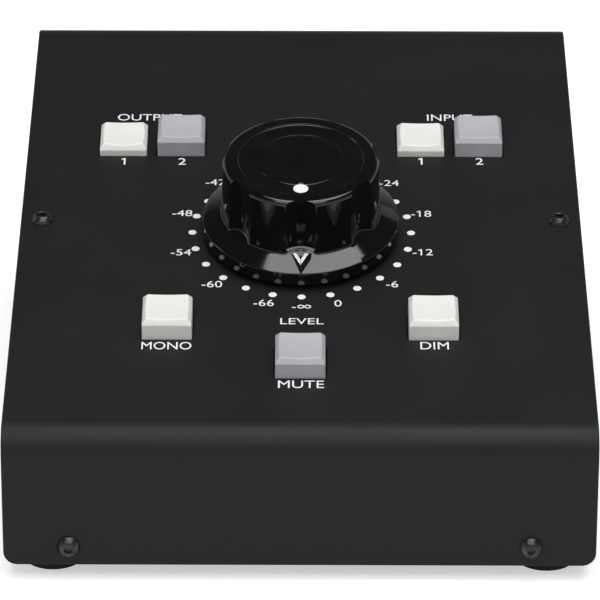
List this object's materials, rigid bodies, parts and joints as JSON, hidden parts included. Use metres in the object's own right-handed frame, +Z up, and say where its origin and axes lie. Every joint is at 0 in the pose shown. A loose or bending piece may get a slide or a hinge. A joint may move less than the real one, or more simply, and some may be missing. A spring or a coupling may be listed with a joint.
{
  "type": "studio monitor controller",
  "caption": "Desktop monitor controller: sloped folded-steel case on rubber feet, large fluted level knob, square latching push buttons and rear jack sockets",
  "frame": {"origin": "centre of the bounding box's underside, on the plane the rubber feet stand on", "axes": "+X to the user's right, +Y from the front face to the rear jacks, +Z up; the top slopes up towards +Y"},
  "size_m": [0.145, 0.19, 0.0853],
  "materials": {
    "case_paint": "fine textured satin black powder coat",
    "black_steel": "black oxide",
    "zinc_steel": "bright zinc plate",
    "foot_rubber": "matt black",
    "board_green": "green solder mask",
    "nickelled_brass": "nickel plate",
    "tinned_wire": "tinned",
    "zinc_casting": "as cast",
    "brass": "turned",
    "ball_steel": "polished",
    "spring_steel": "rolled",
    "wafer_laminate": "phenolic laminate",
    "rotor_plastic": "moulded",
    "chip_black": "chip body",
    "spacer_aluminium": "turned",
    "shaft_steel": "ground",
    "lead_sheath": "insulated wire",
    "knob_black": "polished black moulding",
    "marking_white": "white filled",
    "cap_white": "satin white moulding",
    "cap_grey": "satin light grey moulding",
    "stem_plastic": "moulded",
    "switch_plastic": "moulded",
    "jack_plastic": "moulded black",
    "header_plastic": "moulded black",
    "ribbon_grey": "flat cable sheath"
  },
  "bodies": {
    "case": {"cover": "case_paint", "base_tray": "case_paint", "case_screws": "black_steel", "clinch_nuts": "zinc_steel", "rubber_feet": "foot_rubber", "foot_screws": "zinc_steel", "control_board": "board_green", "board_standoffs": "nickelled_brass", "board_screws": "zinc_steel", "switch_pins": "tinned_wire", "attenuator_bushing": "nickelled_brass", "attenuator_washer": "zinc_steel", "attenuator_nut": "nickelled_brass", "detent_housing": "zinc_casting", "detent_balls": "ball_steel", "detent_spring": "spring_steel", "wafer_upper": "wafer_laminate", "wafer_lower": "wafer_laminate", "ladder_resistors": "chip_black", "wafer_spacers": "spacer_aluminium", "clamp_bolts": "zinc_steel", "attenuator_back_plate": "zinc_steel", "attenuator_leads": "lead_sheath", "jack_bodies": "jack_plastic", "jack_washers": "nickelled_brass", "jack_nuts": "nickelled_brass", "jack_board": "board_green", "jack_pins": "tinned_wire", "ribbon_headers": "header_plastic", "ribbon_sockets": "header_plastic", "ribbon_cable": "ribbon_grey", "switch_output_1": "switch_plastic", "switch_output_2": "switch_plastic", "switch_input_1": "switch_plastic", "switch_input_2": "switch_plastic", "switch_mono": "switch_plastic", "switch_dim": "switch_plastic", "switch_mute": "switch_plastic"},
    "knob": {"knob": "knob_black", "knob_bush": "brass", "knob_disc": "knob_black", "knob_dot": "marking_white", "knob_set_screw": "black_steel", "attenuator_shaft": "shaft_steel", "detent_wheel": "brass", "wafer_rotors": "rotor_plastic"},
    "button_output_1": {"cap_output_1": "cap_white", "plunger_output_1": "stem_plastic"},
    "button_output_2": {"cap_output_2": "cap_grey", "plunger_output_2": "stem_plastic"},
    "button_input_1": {"cap_input_1": "cap_white", "plunger_input_1": "stem_plastic"},
    "button_input_2": {"cap_input_2": "cap_grey", "plunger_input_2": "stem_plastic"},
    "button_mono": {"cap_mono": "cap_white", "plunger_mono": "stem_plastic"},
    "button_dim": {"cap_dim": "cap_white", "plunger_dim": "stem_plastic"},
    "button_mute": {"cap_mute": "cap_grey", "plunger_mute": "stem_plastic"}
  },
  "joints": [
    {"name": "level_knob", "type": "hinge", "parent": "case", "child": "knob", "pos_m": [0, -0.0098, 0.05844], "axis": [0, 0.2289, -0.9735], "range_deg": [0, 345]},
    {"name": "push_output_1", "type": "slide", "parent": "case", "child": "button_output_1", "axis": [0, -0.2289, 0.9735], "range_m": [-0.0007, 0.0025]},
    {"name": "push_output_2", "type": "slide", "parent": "case", "child": "button_output_2", "axis": [0, -0.2289, 0.9735], "range_m": [-0.0032, 0], "stiffness_N_per_m": 500, "springref_m": 0.001},
    {"name": "push_input_1", "type": "slide", "parent": "case", "child": "button_input_1", "axis": [0, -0.2289, 0.9735], "range_m": [-0.0007, 0.0025]},
    {"name": "push_input_2", "type": "slide", "parent": "case", "child": "button_input_2", "axis": [0, -0.2289, 0.9735], "range_m": [-0.0032, 0], "stiffness_N_per_m": 500, "springref_m": 0.001},
    {"name": "push_mono", "type": "slide", "parent": "case", "child": "button_mono", "axis": [0, -0.2289, 0.9735], "range_m": [-0.0032, 0], "stiffness_N_per_m": 500, "springref_m": 0.001},
    {"name": "push_dim", "type": "slide", "parent": "case", "child": "button_dim", "axis": [0, -0.2289, 0.9735], "range_m": [-0.0032, 0], "stiffness_N_per_m": 500, "springref_m": 0.001},
    {"name": "push_mute", "type": "slide", "parent": "case", "child": "button_mute", "axis": [0, -0.2289, 0.9735], "range_m": [-0.0032, 0], "stiffness_N_per_m": 500, "springref_m": 0.001}
  ]
}
